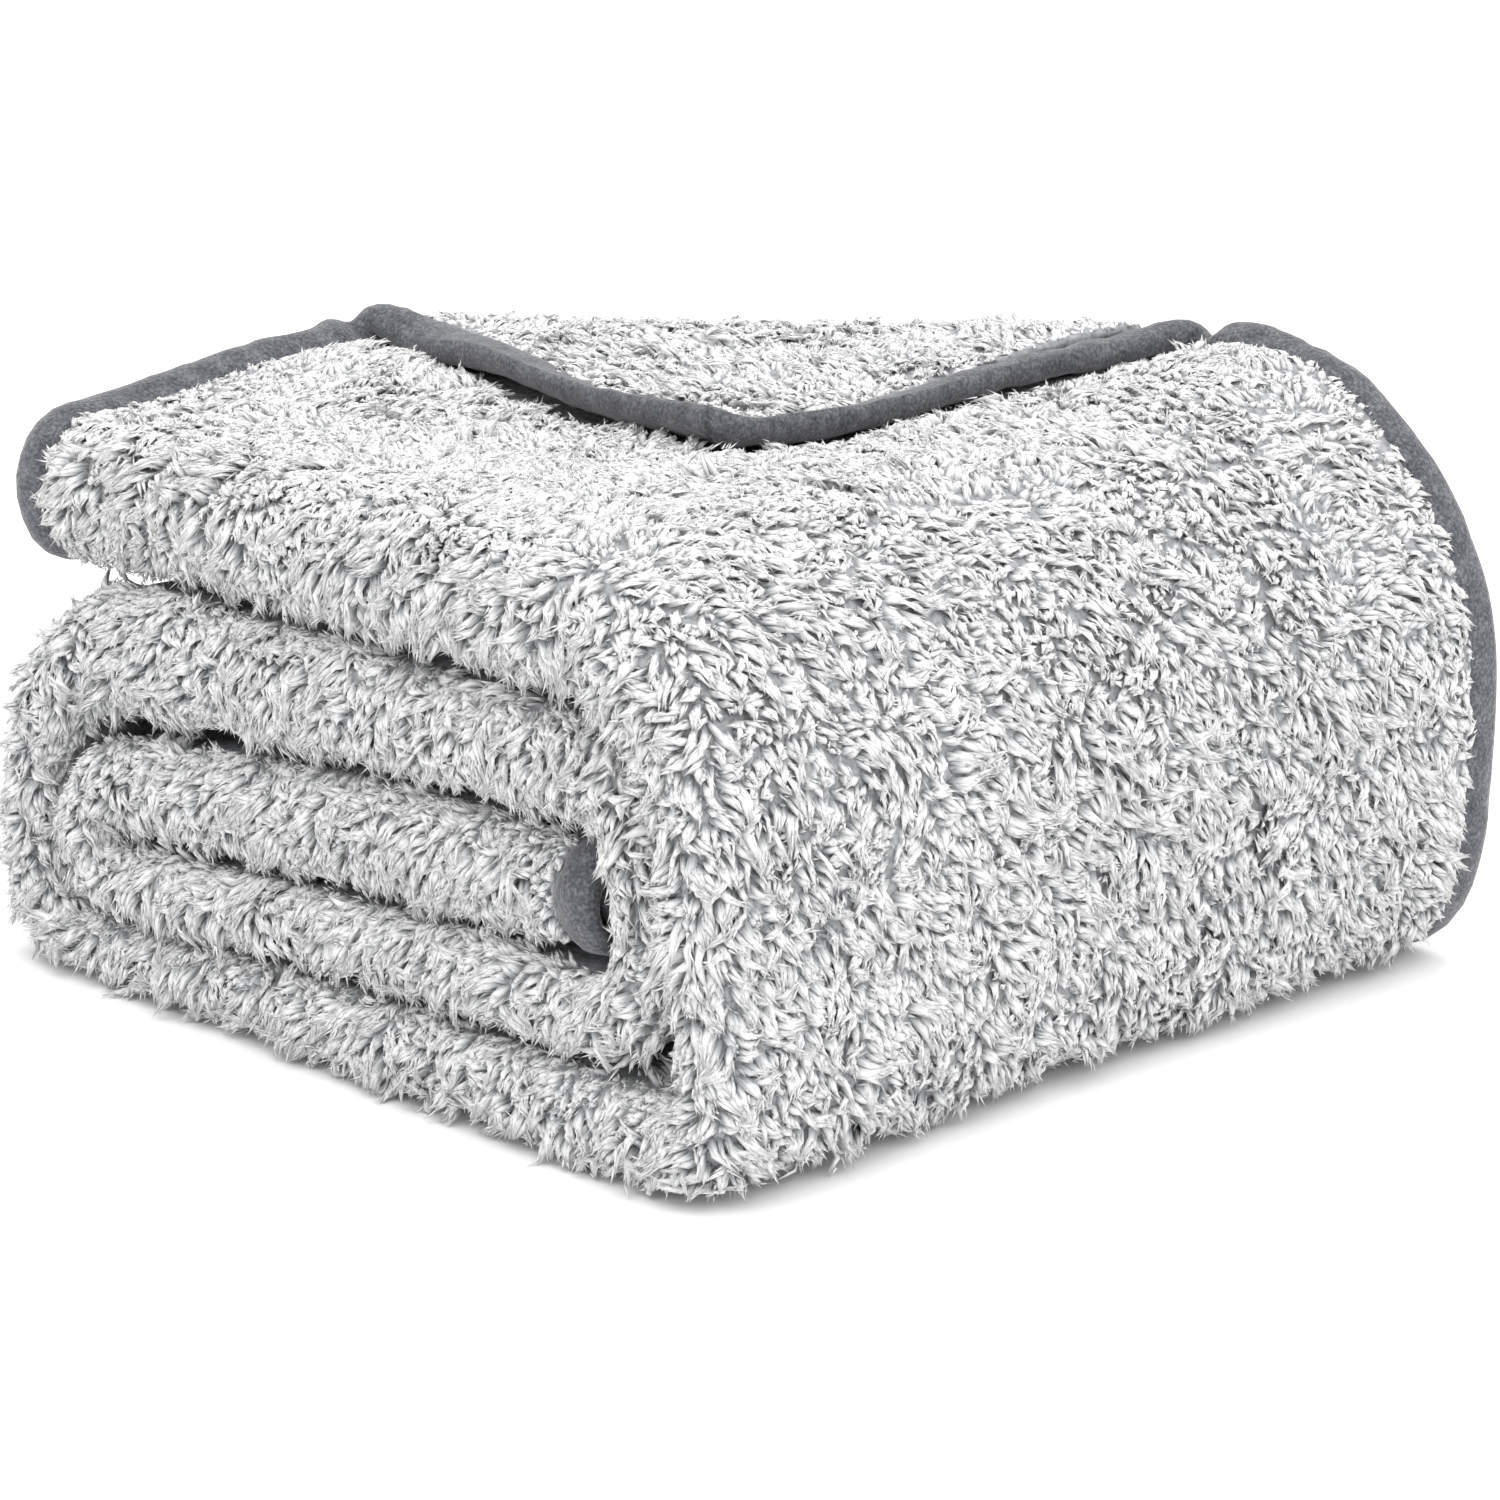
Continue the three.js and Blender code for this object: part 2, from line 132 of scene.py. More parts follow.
def middle(s_raw):
    s_raw = np.asarray(s_raw, float)
    s = np.clip(s_raw, 0, LENGTH)
    g = SEG[np.clip(np.searchsorted(SEG[:, 0], s, side="right") - 1, 0, len(SEG) - 1)]
    u = s - g[..., 0]
    f = ease(u / g[..., 1])
    arc, size, h0 = g[..., 2] > 0.5, g[..., 3], g[..., 6]
    head = np.where(arc, h0 - u / size, h0)
    x = np.where(arc, g[..., 4] + size * (np.sin(h0) - np.sin(head)), g[..., 4] + u * np.cos(h0))
    z = np.where(arc, g[..., 5] - size * (np.cos(h0) - np.cos(head)), g[..., 5] + u * np.sin(h0))
    past = s_raw - s
    return (
        x + past * np.cos(head),
        z + past * np.sin(head),
        head,
        g[..., 7] + (g[..., 8] - g[..., 7]) * f,
        g[..., 9] + (g[..., 10] - g[..., 9]) * f,
    )


def across(leg, t, rec):
    p, yc = t / 4, -HALF_Y + rec + t / 2
    k = np.clip(np.floor(leg), 0, 6)
    u = leg - k
    a = np.pi * u
    sn, cs, one, nil = np.sin(a), np.cos(a), np.ones_like(a), np.zeros_like(a)
    cases = [
        (EDGE_1 + (yc - EDGE_1) * u, 1.5 * p, nil, one),
        (yc - 1.5 * p * sn, 1.5 * p * cs, -sn, cs),
        (yc + (HALF_FOLD_Y - yc) * u, -1.5 * p, nil, -one),
        (HALF_FOLD_Y + 0.5 * p * sn, -p - 0.5 * p * cs, sn, -cs),
        (HALF_FOLD_Y + (yc - HALF_FOLD_Y) * u, -0.5 * p, nil, one),
        (yc - 0.5 * p * sn, -0.5 * p * cs, sn, cs),
        (yc + (EDGE_2 - yc) * u, 0.5 * p, nil, -one),
    ]
    return [np.select([k == i for i in range(7)], [c[j] * one for c in cases]) for j in range(4)]


def place(s, leg, h, out=0.0):
    x, z, head, t, rec = middle(s)
    y, n, ny, nn = across(leg, t, rec)
    n = n + nn * h
    return np.stack([x - np.sin(head) * n, y + ny * h + out, z + np.cos(head) * n], -1)


_turn = np.array([TURN["bx"] - TURN["ax"], TURN["by"] - TURN["ay"]])
TURN_LEN = float(np.hypot(*_turn))
ALONG = _turn / TURN_LEN
OFF = np.array([-ALONG[1], ALONG[0]])
SHEET_Z = LEVEL["top"] + 1.5 * START_T / 4


def beyond(x, y):
    return (x - TURN["ax"]) * OFF[0] + (y - TURN["ay"]) * OFF[1]


def turned(p):
    x, y, z = p[..., 0], p[..., 1], p[..., 2]
    r, d = TURN["r"], beyond(p[..., 0], p[..., 1])
    h = z - SHEET_Z
    phi = np.clip(d / r, 0, np.pi)
    over = np.maximum(d - np.pi * r, 0)
    drop = np.where(over > 0, ease(over / TURN["ease"]) * (2 * r - TURN["rest"]), 0)
    move = r * np.sin(phi) - over - d - np.sin(phi) * h
    q = np.stack([x + OFF[0] * move, y + OFF[1] * move, SHEET_Z + r * (1 - np.cos(phi)) - drop + np.cos(phi) * h], -1)
    return np.where((d > 0)[..., None], q, p)


TIP = turned(np.array([FLAP_X, HALF_Y, SHEET_Z]))


def uneven(p):
    x, y, z0 = p[..., 0], p[..., 1], p[..., 2]
    z = z0 - LEAN * ease((60 - x) / 220) * np.sin(np.pi * np.clip(z0 / TOP_BASE, 0, 1))
    z = z - FLAP_SAG * ease((-75 - x) / 70) * np.exp(-(((z0 - 129) / 22) ** 2))
    d = beyond(x, y)
    end = ease((-10 - x) / 140) * (1 - 0.75 * ease((-50 - y) / 100))
    side = ease((y - 50) / 115) * ease((x - 52) / 28) * (1 - 0.6 * ease((x - 75) / 70))
    fold, back = ease((d + 100) / 100), ease((d - 6) / 100)
    covered = ease((TIP[0] + (y - TIP[1]) * (TURN["bx"] - TIP[0]) / (TURN["by"] - TIP[1]) - x) / 14 + 0.3) * ease(
        (y - TURN["ay"]) / 14 + 0.3
    )
    loft = LOFT["fold"] * fold + LOFT["end"] * end + LOFT["side"] * side + LOFT["front"] * (1 - fold)
    loft = (loft - SINK * covered) * (1 - back) + LOFT["corner"] * back
    z = np.where(z > TOP_BASE, TOP_BASE + (z - TOP_BASE) * (1 + loft / 41), z)
    z = z * (1 + SIDE_RISE * ease((y + 20) / 180))
    front = ease((x - 90) / 70)
    far = ease((y - 20) / 140)
    x = x + front * (
        TOE_OUT * ease(-y / 150) * (1 - ease((z - 20) / 90))
        - TOE_IN * far * (1 - ease(z / 55))
        + SWELL * far * np.sin(np.pi * np.minimum(z / 165, 1))
    )
    return np.stack([x - CENTRE[0], y - CENTRE[1], z], -1)


def cloth(s, leg, h, out=0.0):
    """Points of the folded cloth in the row frame, in mm: s along the strip, leg across it, h off the cloth's middle."""
    s, leg, h, out = np.broadcast_arrays(*[np.asarray(v, float) for v in (s, leg, h, out)])
    p = place(s, leg, h, out)
    flap = ((leg < 1) & (s < TOP_LEN))[..., None]
    return uneven(np.where(flap, turned(p), p))


def leg_mm(t, rec):
    """Length of each leg in mm for a strip t thick."""
    p, yc = t / 4, -HALF_Y + rec + t / 2
    return np.array([EDGE_1 - yc, 1.5 * np.pi * p, HALF_FOLD_Y - yc, 0.5 * np.pi * p, HALF_FOLD_Y - yc, 0.5 * np.pi * p, EDGE_2 - yc])


# ------------------------------------------------------------------ noise
def _hash(ix, iy, iz, seed):
    n = (ix * 374761393 + iy * 668265263 + iz * 2147483647 + seed * 974634777) & 0xFFFFFFFF
    n = ((n ^ (n >> 13)) * 1274126177) & 0xFFFFFFFF
    n = ((n ^ (n >> 16)) * 2246822519) & 0xFFFFFFFF
    return ((n ^ (n >> 15)) & 0xFFFFFF) / float(0xFFFFFF) * 2 - 1


def noise(p, scale, seed):
    """Smooth noise from -1 to 1 with features of about scale mm."""
    q = p / scale + 1000.0
    i = np.floor(q).astype(np.int64)
    f = q - i
    f = f * f * (3 - 2 * f)
    total = 0.0
    for dx in (0, 1):
        for dy in (0, 1):
            for dz in (0, 1):
                w = (
                    np.where(dx, f[..., 0], 1 - f[..., 0])
                    * np.where(dy, f[..., 1], 1 - f[..., 1])
                    * np.where(dz, f[..., 2], 1 - f[..., 2])
                )
                total = total + w * _hash(i[..., 0] + dx, i[..., 1] + dy, i[..., 2] + dz, seed)
    return total


def noise3(p, scale, seed):
    return np.stack([noise(p, scale, seed + 11 * k) for k in range(3)], -1)


def unit(v):
    return v / np.maximum(np.linalg.norm(v, axis=-1, keepdims=True), 1e-9)


# ------------------------------------------------------------------ meshes
def mesh_object(name, verts_mm, faces, smooth=True, attribute=None):
    me = bpy.data.meshes.new(name)
    verts = np.asarray(verts_mm, np.float32) * 0.001
    faces = np.asarray(faces, np.int32)
    k = faces.shape[1]
    me.vertices.add(len(verts))
    me.vertices.foreach_set("co", verts.ravel())
    me.loops.add(faces.size)
    me.loops.foreach_set("vertex_index", faces.ravel())
    me.polygons.add(len(faces))
    me.polygons.foreach_set("loop_start", np.arange(0, faces.size, k, dtype=np.int32))
    me.polygons.foreach_set("loop_total", np.full(len(faces), k, np.int32))
    me.polygons.foreach_set("use_smooth", np.full(len(faces), smooth))
    me.update(calc_edges=True)
    me.validate()
    if attribute is not None:
        a = me.attributes.new("lock", "FLOAT_COLOR", "POINT")
        a.data.foreach_set("color", np.asarray(attribute, np.float32).ravel())
    ob = bpy.data.objects.new(name, me)
    bpy.context.scene.collection.objects.link(ob)
    return ob


def closed_sheet(upper, under):
    """Vertices and quads of a closed slab between two grids of points."""
    r, c = upper.shape[:2]
    v = np.concatenate([upper.reshape(-1, 3), under.reshape(-1, 3)])
    i = np.arange(r * c).reshape(r, c)
    a = np.stack([i[:-1, :-1], i[:-1, 1:], i[1:, 1:], i[1:, :-1]], -1).reshape(-1, 4)
    b = a[:, ::-1] + r * c
    rim = np.concatenate([i[0, :], i[1:, -1], i[-1, -2::-1], i[-2:0:-1, 0]])
    nxt = np.roll(rim, -1)
    side = np.stack([nxt, rim, rim + r * c, nxt + r * c], -1)
    return v, np.concatenate([a, b, side])


def facing(v, f):
    """Turns all faces round if the closed surface encloses a negative volume."""
    a = v[f[:, 0]]
    vol = 0.0
    for k in range(1, f.shape[1] - 1):
        vol += np.einsum("ij,ij->i", a, np.cross(v[f[:, k]], v[f[:, k + 1]])).sum()
    return f if vol > 0 else f[:, ::-1]


# ------------------------------------------------------------------ the ground cloth
def stations(step_top, step):
    out = [0.0]
    for i, row in enumerate(SEG):
        n = max(2, int(round(row[1] / (step_top if i == 0 else (min(step, 5.5) if row[2] > 0.5 else step)))))
        out += list(row[0] + row[1] * np.arange(1, n + 1) / n)
    return np.array(out)


def legs(counts):
    out = [0.0]
    for k, n in enumerate(counts):
        out += list(k + np.arange(1, n + 1) / n)
    return np.array(out)


S_GRID = stations(6.4, 13.0)
L_GRID = legs([42, 7, 8, 4, 7, 4, 8])
S2, L2 = np.meshgrid(S_GRID, L_GRID, indexing="ij")
core_v, core_f = closed_sheet(cloth(S2, L2, CORE_H), cloth(S2, L2, -CORE_H))
core_f = facing(core_v, core_f)
core = mesh_object("fleece_ground", core_v, core_f)

# ------------------------------------------------------------------ the binding
SECT = 14
PHI = np.linspace(0, 2 * np.pi, SECT, endpoint=False)


def tape_section():
    """Folded tape in section: distance out from the cloth's edge, height as a share of its half thickness."""
    out = (BIND_W + 1.5) / 2 * np.cos(PHI) + (BIND_W - 1.5) / 2
    high = np.sign(np.sin(PHI)) * np.abs(np.sin(PHI)) ** 0.62
    neck = np.interp(out, [-1.5, 0.8, 2.4, 5.0, 14.0], [0.72, 0.6, 0.74, 1.0, 1.0])  # pinched by its seam
    return out, high * neck


TAPE_OUT, TAPE_H = tape_section()


def tape_half(s):
    t = middle(s)[3]
    return np.minimum(t / 4 - 0.9, 8.6) / 2


def closed_tube(rows):
    """Vertices and triangles of a closed tube through rows of section points (rows, SECT, 3)."""
    r, c = rows.shape[:2]
    v = rows.reshape(-1, 3)
    i = np.arange(r * c).reshape(r, c)
    j = np.roll(i, -1, axis=1)
    f = np.stack([i[:-1], j[:-1], j[1:], i[1:]], -1).reshape(-1, 4)
    v = np.concatenate([v, rows[0].mean(0)[None], rows[-1].mean(0)[None]])
    v[:, 2] = np.maximum(v[:, 2], 0.3)  # nothing reaches below the surface it lies on
    a, b = r * c, r * c + 1
    ca = np.stack([j[0], i[0], np.full(c, a)], -1)
    cb = np.stack([i[-1], j[-1], np.full(c, b)], -1)
    tris = np.concatenate([f[:, [0, 1, 2]], f[:, [0, 2, 3]], ca, cb])
    return v, facing(v, tris)


def crinkle(along_mm, out, base):
    """Share of its plain height that the tape has at each point: soft creases that run across it."""
    q = np.stack([along_mm, out * 0.35, np.full_like(along_mm, base)], -1)
    return 1 + 0.15 * noise(q, 9, 51) + 0.09 * noise(q, 4.2, 52) + 0.09 * noise(q, 31, 53)


def lifted(p, s, leg, out, flat_mm):
    """The tape's last shape: it droops on the turned corner, and is pulled up on both sides of the fold."""
    x, y = flat_mm[..., 0], flat_mm[..., 1]
    d = beyond(x, y)
    phi = np.clip(d / TURN["r"], 0, np.pi) / np.pi
    o = np.maximum(out, 0) / BIND_W
    end = 1 - ease((x + 150) / 90)  # 1 on the end's tape, 0 on the side's
    loop = ease((d + 12) / 22) * (1 - ease((d - 8) / 26))  # the loops at the fold stand up
    on_end = (-1.26 - 6.82 * o + (3.48 + 6.37 * o) * ease((d - 15) / 50)) * phi
    on_end = on_end + ease((y + 125) / 85) * 0.04 * o * (1 - phi) + (1.18 + 8.5 * o) * loop
    on_side = (-5.43 + 2.08 * o + (4.13 + 1.21 * o) * ease((d - 18) / 60)) * phi
    on_side = on_side + (1 - ease((x - 50) / 42)) * (0.57 - 1.54 * o) * (1 - phi) + (1.71 + 0.22 * o) * loop
    on_side = on_side + 2.2 * np.exp(-(((d + 11) / 10) ** 2))
    dz = np.where((leg < 1) & (s < TOP_LEN), end * on_end + (1 - end) * on_side, 0.0)
    dz = dz - 2.4 * (1 - end) * ease((x - 62) / 26) * (1 - ease((x - 128) / 26)) * (0.5 + 0.5 * o) * (s < S_AT["face"])
    p = p.copy()
    p[..., 2] += dz
    return p


def side_tape(leg):
    ss = stations(3.0, 4.6)
    out, high = np.broadcast_to(TAPE_OUT, (len(ss), SECT)), np.broadcast_to(TAPE_H, (len(ss), SECT))
    s = np.broadcast_to(ss[:, None], out.shape).copy()
    near = np.clip(1 - ss / 22, 0, 1)[:, None]  # the first and last rows run slantwise to make mitres
    s = s - np.maximum(out, 0) * near + 0.15 * near
    far = np.clip(1 - (LENGTH - ss) / 22, 0, 1)[:, None]
    s = s + np.maximum(out, 0) * far - 0.15 * far
    h = high * tape_half(s) * crinkle(s, out, leg * 40.0) * np.where(s < TOP_LEN, 1.08, 1.0)
    wav = 0.5 * noise(np.stack([s, np.full_like(s, leg * 50.0), np.zeros_like(s)], -1), 14, 61)
    o = out + wav * np.clip(out / 14, 0, 1)
    p = cloth(s, float(leg), h, o)
    if leg == 0:
        p = lifted(p, s, 0 * s, out, place(s, 0.0 * s, h, o))
    return closed_tube(p)


def end_tape(start):
    lg = legs([112, 11, 60, 6, 58, 6, 60])
    out, high = np.broadcast_to(TAPE_OUT, (len(lg), SECT)), np.broadcast_to(TAPE_H, (len(lg), SECT))
    l2 = np.broadcast_to(lg[:, None], out.shape)
    s = -out if start else LENGTH + out
    _, _, _, t, rec = middle(s)
    mm = leg_mm(float(np.mean(t)), float(np.mean(rec)))
    cum = np.concatenate([[0], np.cumsum(mm)])
    dist = np.interp(lg, np.arange(8), cum)[:, None] + 0 * out
    h = high * tape_half(s) * crinkle(dist, out, 400.0 if start else 500.0)
    near = np.clip(1 - dist / 22, 0, 1)
    far = np.clip(1 - (cum[-1] - dist) / 22, 0, 1)
    side = (np.maximum(out, 0) - 0.15) * (near + far)
    p = cloth(s, l2, h, side)
    if start:
        p = lifted(p, s, l2, out, place(s, l2, h, side))
    return closed_tube(p)


TAPE_NAMES = ("binding_outer_end", "binding_inner_end", "binding_outer_side", "binding_inner_side")
tape_meshes = [end_tape(True), end_tape(False), side_tape(0), side_tape(7)]
tapes = [mesh_object(name + "_tape", v, f) for name, (v, f) in zip(TAPE_NAMES, tape_meshes)]

all_v, all_f, at = [core_v], [tuple(f) for f in core_f.tolist()], len(core_v)
for v, f in tape_meshes:
    all_v.append(v)
    all_f += [tuple(x) for x in (f + at).tolist()]
    at += len(v)
tree = BVHTree.FromPolygons([tuple(v) for v in np.concatenate(all_v).tolist()], all_f)

# ------------------------------------------------------------------ the camera's place, which also sets where the pile is finest
CAM = np.array([994.5 - CENTRE[0], -929.0 - CENTRE[1], 433.0])
CAM_AZ, CAM_PITCH, CAM_LENS = 46.73, 15.02, 108.0

# ------------------------------------------------------------------ where the strands stand
rng = np.random.default_rng(20)


def candidates(side):
    """Jittered points over one side of the cloth (side +1 or -1): s, leg, and distance from the nearest seam."""
    rows_s, rows_l, rows_e = [], [], []
    n_s = int(LENGTH / PITCH)
    for i in range(n_s):
        s = (i + 0.5) * LENGTH / n_s
        _, _, _, t, rec = middle(s)
        mm = leg_mm(float(t), float(rec))
        for k in range(7):
            n = max(2, int(round(mm[k] / PITCH)))
            if k in (1, 3, 5) and side > 0:
                n = int(round(n * 1.3)) + 1  # the pile spreads round an outer fold
            u = (np.arange(n) + rng.uniform(0.05, 0.95, n)) / n
            dist = u * mm[k]
            edge = np.full(n, 99.0)
            if k == 0:
                edge = dist
                keep = (s < S_AT["upper2"]) | (mm[0] - dist < 38) | (dist < 26)
                if side < 0:
                    keep = (dist < 24) | (s < TOP_LEN)
            elif k == 1:
                keep = np.full(n, side > 0)
            elif k == 2:
                keep = ((dist < 34) | (mm[2] - dist < 20)) & (side > 0)
            elif k == 3:
                keep = np.full(n, side > 0)
            elif k == 4:
                keep = dist < 22
            elif k == 5:
                keep = np.zeros(n, bool)
            else:
                keep = mm[6] - dist < 24
                edge = mm[6] - dist
                if side < 0 and s < TOP_LEN:  # what the turned corner leaves open
                    keep |= beyond(TOP_START + s, EDGE_2 - edge) > -16
            m = int(keep.sum())
            ends = min(s, LENGTH - s)
            rows_s.append(s + rng.uniform(-0.45, 0.45, m) * PITCH)
            rows_l.append(k + u[keep])
            rows_e.append(np.minimum(edge[keep], ends))
    s, leg, edge = np.concatenate(rows_s), np.concatenate(rows_l), np.concatenate(rows_e)
    ok = (s > 0.6) & (s < LENGTH - 0.6)
    return s[ok], leg[ok], edge[ok]


def frame_at(s, leg, side):
    """Foot, outward normal and two tangents of the pile at each point."""
    foot = cloth(s, leg, side * CORE_H)
    n = unit(cloth(s, leg, side * (CORE_H + 1.0)) - foot)
    e = 0.8
    ts = unit(cloth(s + e, leg, side * CORE_H) - foot)
    ts = unit(ts - n * (ts * n).sum(-1, keepdims=True))
    return foot, n, ts, np.cross(n, ts)


HEMI = []
for ring, (tilt, count) in enumerate([(12, 1), (38, 4), (62, 6), (80, 5)]):
    for j in range(count):
        a = 2 * math.pi * (j + 0.37 * ring) / count
        t = math.radians(tilt)
        HEMI.append((math.sin(t) * math.cos(a), math.sin(t) * math.sin(a), math.cos(t)))


def exposure(foot, n, ts, tl):
    """Share of the sky each point sees within 45 mm, the mean way to it, and whether the camera sees the point."""
    free = np.zeros((len(foot), len(HEMI)), bool)
    seen = np.zeros(len(foot), bool)
    start = foot + n * 1.6
    dirs = [ts * a + tl * b + n * c for a, b, c in HEMI]
    to_cam = CAM - foot
    to_cam /= np.linalg.norm(to_cam, axis=1)[:, None]
    faces_cam = (to_cam * n).sum(1) > -0.25
    cast = tree.ray_cast
    for i in range(len(foot)):
        p = Vector(start[i])
        any_free = False
        for k, d in enumerate(dirs):
            v = Vector(d[i])
            if v.z < 0 and start[i, 2] < -v.z * 25:  # the floor hides what lies below
                continue
            if cast(p, v, 45.0)[0] is None:
                free[i, k] = True
                any_free = True
            if k == 4 and not any_free:
                break
        if faces_cam[i] and any_free:
            v = Vector(to_cam[i])
            seen[i] = cast(Vector(foot[i] + n[i] * 4.5), v, 400.0)[0] is None or cast(p, v, 400.0)[0] is None
    bent = sum(d * free[:, k : k + 1] for k, d in enumerate(dirs))
    return free.mean(1), unit(np.where(free.any(1)[:, None], bent, n)), seen


foot, nrm, ts_, tl_, leg_, s_, side_, edge_ = [], [], [], [], [], [], [], []
for side in (1, -1):
    s, leg, edge = candidates(side)
    if side < 0:  # the inner side shows on the turned corner and at the bound edges
        q = place(s, leg, 0)
        keep = ~((leg < 1) & (s < TOP_LEN)) | (beyond(q[..., 0], q[..., 1]) > -4) | (q[..., 1] > EDGE_1 - 24)
        s, leg, edge = s[keep], leg[keep], edge[keep]
    f, n, a, b = frame_at(s, leg, side)
    foot.append(f), nrm.append(n), ts_.append(a), tl_.append(b), leg_.append(leg), s_.append(s), edge_.append(edge)
    side_.append(np.full(len(s), side))
foot, nrm, ts_, tl_ = map(np.concatenate, (foot, nrm, ts_, tl_))
leg_, s_, side_, edge_ = map(np.concatenate, (leg_, s_, side_, edge_))
open_, bent, seen = exposure(foot, nrm, ts_, tl_)
print("candidates", len(foot), "t", round(time.time() - T_BEGIN, 1))

keep = open_ > 0.05
keep &= ~((nrm[:, 2] < -0.93) & (foot[:, 2] < 5) & (open_ < 0.3))  # the side it lies on
in_fold = (nrm[:, 1] < 0.6) & (foot[:, 1] < -118)
keep &= seen | (rng.uniform(0, 1, len(foot)) < np.where(in_fold, 0.98, 0.92))
foot, nrm, bent, open_, seen, leg_, s_, side_, edge_ = (v[keep] for v in (foot, nrm, bent, open_, seen, leg_, s_, side_, edge_))
grow_n = unit(nrm * 0.45 + bent * 0.55)  # pile grows towards the open side
room = np.full(len(foot), 45.0)
for i in range(len(foot)):
    hit = tree.ray_cast(Vector(foot[i] + nrm[i] * 1.2), Vector(grow_n[i]), 20.0)
    if hit[0] is not None:
        room[i] = hit[3]
keep = room > 1.2
foot, nrm, bent, open_, seen, leg_, s_, side_, edge_, grow_n, room = (
    v[keep] for v in (foot, nrm, bent, open_, seen, leg_, s_, side_, edge_, grow_n, room)
)
count = len(foot)
print("strands", count, "seen", int(seen.sum()), "t", round(time.time() - T_BEGIN, 1))


# ------------------------------------------------------------------ how each strand grows
def gather(cell):
    """For every strand, the strand that leads its group: groups are about cell mm wide and keep to one face."""
    order = rng.permutation(count)
    _, first = np.unique(np.floor(foot[order] / cell).astype(np.int64), axis=0, return_index=True)
    lead = order[first]
    kd = KDTree(len(lead))
    for j, i in enumerate(lead):
        kd.insert(Vector(foot[i]), j)
    kd.balance()
    out = np.empty(count, np.int64)
    for i in range(count):
        near = [lead[j] for _, j, _ in kd.find_n(Vector(foot[i]), 4)]
        best = near[0]
        for q in near:
            if nrm[q] @ nrm[i] > 0.35:
                best = q
                break
        else:
            best = i
        out[i] = best
    return out


tuft = gather(TUFT)
wave = gather(WAVE)[tuft]

DOWN = np.array([0.0, 0.0, -1.0])
flat = np.clip(nrm[:, 2], 0, 1) ** 2  # 1 on top, 0 on the upright faces
fall = DOWN - nrm * (nrm @ DOWN)[:, None]  # downhill along the cloth
drift = noise3(foot, 34, 3) * 0.75 + noise3(foot, 15, 7) * 0.6
drift -= nrm * (drift * nrm).sum(1, keepdims=True)
on_fold = ease((-nrm[:, 1] + 0.35) / 0.6) * (foot[:, 1] < -118)  # the smooth folds, where the pile hangs in longer locks
low = ease((13 - foot[:, 2]) / 11)  # at the floor the pile spreads outwards
away = unit(grow_n * np.array([1.0, 1.0, 0.0]) + 1e-6)
comb = fall * (1.0 + 0.25 * on_fold)[:, None] + drift * (1.0 - 0.15 * on_fold)[:, None]
comb = comb * (1 - low)[:, None] + away * low[:, None] * 0.9 + away * (on_fold * (open_ < 0.5) * 0.5)[:, None]
comb = unit(comb[tuft] * 0.75 + comb * 0.25 + 1e-6)
comb = unit(comb - grow_n * (comb * grow_n).sum(1, keepdims=True))

r_wave, r_tuft = rng.normal(0, 1, (count, 6))[wave], rng.normal(0, 1, (count, 6))[tuft]
r_own = rng.normal(0, 1, (count, 6))
r_wave, r_tuft, r_own = (np.clip(r, -2.2, 2.2) for r in (r_wave, r_tuft, r_own))
calm = 1 - 0.2 * on_fold
turn = 0.36 * r_wave[:, 0] * calm + 0.66 * r_tuft[:, 0] * calm + 0.22 * r_own[:, 0]
across_n = np.cross(grow_n, comb)
comb = comb * np.cos(turn)[:, None] + across_n * np.sin(turn)[:, None]
across_n = np.cross(grow_n, comb)

length = PILE_L * (1 + 0.06 * on_fold) * (1 - 0.1 * flat)
length = length * (1 + 0.3 * on_fold * (open_ < 0.4))  # longer where it fills the creases between layers
length = length * (1 + 0.15 * r_wave[:, 1]) * (1 + 0.1 * r_tuft[:, 1]) * (1 + 0.08 * r_own[:, 1])
length = length * (0.5 + 0.5 * np.clip(edge_ / SEAM_PRESS, 0, 1))
length = np.minimum(length, 1.8 + 1.05 * room)
lean0 = np.radians(60 + 7 * r_tuft[:, 2] + 4 * r_own[:, 2])
lean1 = np.radians(-6 - 22 * flat + 15 * r_wave[:, 3] + 20 * r_tuft[:, 3] + 6 * r_own[:, 3] + 10 * low)
curl = 0.44 * r_tuft[:, 4] + 0.13 * r_wave[:, 4]
FINE = 9
TT = np.linspace(0, 1, FINE)


def grown():
    """Centre line of every strand, curling over from the open side towards its combed direction."""
    pts = [foot - nrm * 0.6]
    n_sub = 2
    for i in range((FINE - 1) * n_sub):
        u = (i + 0.5) / ((FINE - 1) * n_sub)
        a = lean0 + (lean1 - lean0) * u**0.85
        step = grow_n * np.sin(a)[:, None] + comb * np.cos(a)[:, None] + across_n * (2 * curl * u)[:, None]
        p = (pts[-1] if i % n_sub == 0 else p) + step * (length / ((FINE - 1) * n_sub))[:, None]
        if (i + 1) % n_sub == 0:
            pts.append(p)
    return np.stack(pts, 1)


line = grown()
loose = rng.uniform(0, 1, count) < 0.07  # stray strands
pull = (line[wave, -1] - line[:, -1]) * (0.24 + 0.05 * r_tuft[:, 5:6])
pull = np.where(((nrm * nrm[wave]).sum(1, keepdims=True) > 0.5) & (np.linalg.norm(pull, axis=1, keepdims=True) < 6), pull, 0)
line = line + pull[:, None, :] * (TT[None, :, None] ** 1.5)
pull = (line[tuft, -1] - line[:, -1]) * np.where(loose, 0.25, np.clip(0.72 - 0.2 * flat + 0.1 * r_own[:, 3], 0.3, 0.92))[:, None]
pull = np.where(np.linalg.norm(foot - foot[tuft], axis=1, keepdims=True) < 7, pull, 0)
line = line + pull[:, None, :] * (TT[None, :, None] ** 1.55)
# Tone of each strand: lighter on top as painted light, darker on the smooth folds as painted shade, and random from
# wave to wave, tuft to tuft and place to place.
tone_and_painted_light = np.clip(0.46 - 0.16 * on_fold + 0.5 * flat + 0.13 * r_wave[:, 2] + 0.12 * r_tuft[:, 1] + 0.16 * noise(foot, 9, 41), 0, 1)


